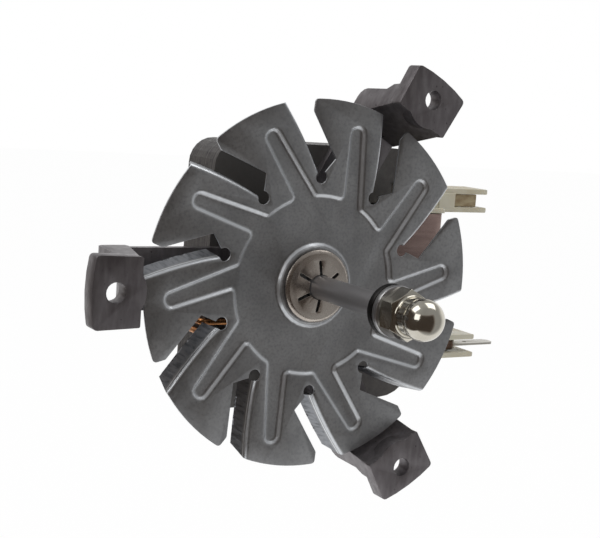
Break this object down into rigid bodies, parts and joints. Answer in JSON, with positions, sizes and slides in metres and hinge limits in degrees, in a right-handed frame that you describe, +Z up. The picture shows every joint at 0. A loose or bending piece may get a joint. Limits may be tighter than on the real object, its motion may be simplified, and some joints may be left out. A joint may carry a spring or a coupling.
{
  "type": "oven fan motor",
  "caption": "Shaded-pole oven fan motor on a cast bracket with upright feet, with a pressed cooling fan on its long shaft, spade terminals and a dome nut at the tip.",
  "frame": {"origin": "on the shaft's centre line, in the plane of the feet's front faces", "axes": "-Y along the shaft towards its tip, +X towards the coil and terminals, +Z up across the shaft"},
  "size_m": [0.1812, 0.1272, 0.1518],
  "materials": {
    "bracket_casting": "dark die casting with worn bright edges",
    "lamination_steel": "dark oiled laminations",
    "core_bar_steel": "dark laminations",
    "bobbin_nylon": "moulded cream nylon",
    "copper_wire": "bare copper",
    "coil_tape": "brown polyester tape",
    "tinned_brass": "bright tin plating",
    "sintered_bronze": "sintered",
    "oil_felt": "oiled felt",
    "zinc_plated_steel": "bright zinc plating",
    "shaft_steel": "ground",
    "rotor_steel": "turned laminations",
    "cast_aluminium": "cast",
    "thrust_fibre": "hard fibre",
    "galvanised_sheet": "galvanised sheet",
    "stainless_spring": "polished spring steel",
    "blackened_steel": "blackened",
    "nickel_plated": "bright nickel plating"
  },
  "bodies": {
    "stator": {"front_bracket": "bracket_casting", "rear_bracket": "bracket_casting", "stator_core": "lamination_steel", "core_bar": "core_bar_steel", "bobbin": "bobbin_nylon", "coil_winding": "copper_wire", "coil_tape": "coil_tape", "spade_terminal_lower": "tinned_brass", "spade_terminal_upper": "tinned_brass", "shading_ring_1": "copper_wire", "shading_ring_2": "copper_wire", "shading_ring_3": "copper_wire", "shading_ring_4": "copper_wire", "front_bearing": "sintered_bronze", "rear_bearing": "sintered_bronze", "front_felt": "oil_felt", "rear_felt": "oil_felt", "front_retainer": "zinc_plated_steel", "rear_retainer": "zinc_plated_steel", "clamp_screw_1": "zinc_plated_steel", "clamp_screw_2": "zinc_plated_steel", "clamp_screw_3": "zinc_plated_steel"},
    "rotor": {"shaft": "shaft_steel", "rotor_core": "rotor_steel", "end_ring_front": "cast_aluminium", "end_ring_rear": "cast_aluminium", "thrust_washer_front": "thrust_fibre", "thrust_washer_rear": "thrust_fibre", "fan_spacer": "zinc_plated_steel", "cooling_fan": "galvanised_sheet", "star_washer": "stainless_spring", "washer_rear": "blackened_steel", "washer_front": "zinc_plated_steel", "dome_nut": "nickel_plated"}
  },
  "joints": [
    {"name": "rotor_spin", "type": "hinge", "parent": "stator", "child": "rotor", "pos_m": [0, 0, 0], "axis": [0, -1, 0], "continuous": true}
  ]
}
